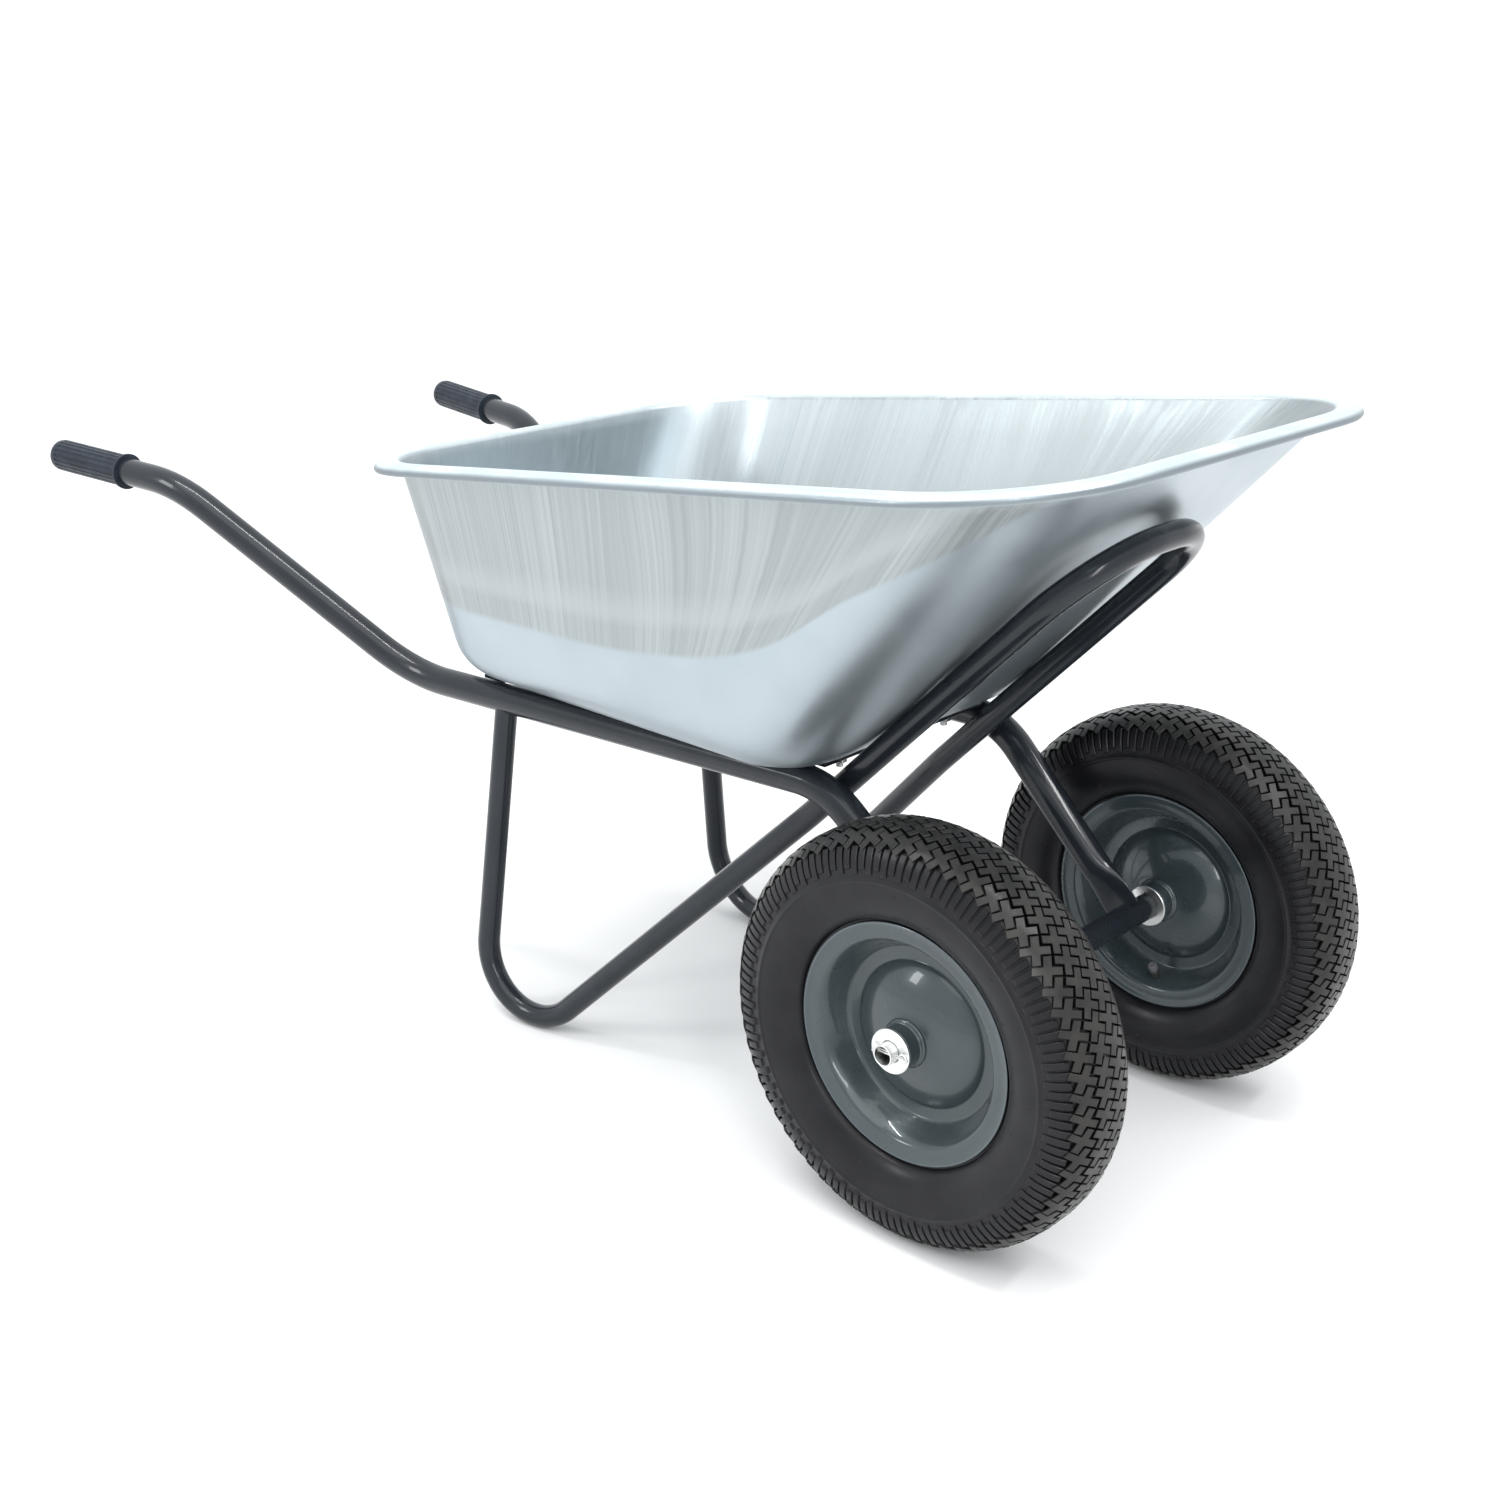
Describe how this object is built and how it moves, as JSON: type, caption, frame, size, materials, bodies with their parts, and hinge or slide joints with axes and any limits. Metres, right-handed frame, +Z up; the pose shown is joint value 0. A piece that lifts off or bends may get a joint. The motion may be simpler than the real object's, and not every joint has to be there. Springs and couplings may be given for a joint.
{
  "type": "wheelbarrow",
  "caption": "Builder's wheelbarrow: a deep drawn metal tray on a bent tube frame with a leg and nose loop, handle grips, and pneumatic wheels side by side on a fixed front axle.",
  "frame": {"origin": "middle of the length and width, on the ground", "axes": "+X forward from the grips to the wheels, +Y to the user's left, +Z up"},
  "size_m": [1.4737, 0.6252, 0.7228],
  "materials": {
    "tray_sheet": "zinc-coated drawn sheet, satin, with fine upright draw marks",
    "frame_paint": "gloss dark grey powder coat",
    "zinc_plate": "bright zinc plate",
    "grip_plastic": "satin moulded plastic",
    "tyre": "moulded tyre rubber",
    "inner_tube_rubber": "smooth rubber",
    "rim_paint": "metallic blue-grey paint, gloss",
    "bush_plastic": "moulded nylon",
    "cap_plastic": "moulded plastic"
  },
  "bodies": {
    "frame": {"tray": "tray_sheet", "main_tube_left": "frame_paint", "main_tube_right": "frame_paint", "leg_loop_tube": "frame_paint", "axle_tube": "frame_paint", "axle": "zinc_plate", "front_cross_bar": "frame_paint", "rear_cross_bar": "frame_paint", "front_left_tray_bolt": "zinc_plate", "front_left_bolt_washer": "zinc_plate", "front_left_bolt_nut": "zinc_plate", "front_right_tray_bolt": "zinc_plate", "front_right_bolt_washer": "zinc_plate", "front_right_bolt_nut": "zinc_plate", "rear_left_tray_bolt": "zinc_plate", "rear_left_bolt_washer": "zinc_plate", "rear_left_bolt_nut": "zinc_plate", "rear_right_tray_bolt": "zinc_plate", "rear_right_bolt_washer": "zinc_plate", "rear_right_bolt_nut": "zinc_plate", "grip_left": "grip_plastic", "outer_axle_washer_left": "zinc_plate", "inner_axle_washer_left": "zinc_plate", "split_pin_left": "zinc_plate", "grip_right": "grip_plastic", "outer_axle_washer_right": "zinc_plate", "inner_axle_washer_right": "zinc_plate", "split_pin_right": "zinc_plate"},
    "wheel_left": {"tyre_left": "tyre", "inner_tube_left": "inner_tube_rubber", "rim_outer_half_left": "rim_paint", "rim_inner_half_left": "rim_paint", "hub_left": "rim_paint", "hub_bush_outer_left": "bush_plastic", "hub_bush_inner_left": "bush_plastic", "valve_stem_left": "inner_tube_rubber", "valve_cap_left": "cap_plastic"},
    "wheel_right": {"tyre_right": "tyre", "inner_tube_right": "inner_tube_rubber", "rim_outer_half_right": "rim_paint", "rim_inner_half_right": "rim_paint", "hub_right": "rim_paint", "hub_bush_outer_right": "bush_plastic", "hub_bush_inner_right": "bush_plastic", "valve_stem_right": "inner_tube_rubber", "valve_cap_right": "cap_plastic"}
  },
  "joints": [
    {"name": "wheel_left_spin", "type": "hinge", "parent": "frame", "child": "wheel_left", "pos_m": [0.53685, 0.2082, 0.2], "axis": [0, 1, 0], "continuous": true},
    {"name": "wheel_right_spin", "type": "hinge", "parent": "frame", "child": "wheel_right", "pos_m": [0.53685, -0.2082, 0.2], "axis": [0, 1, 0], "continuous": true}
  ]
}
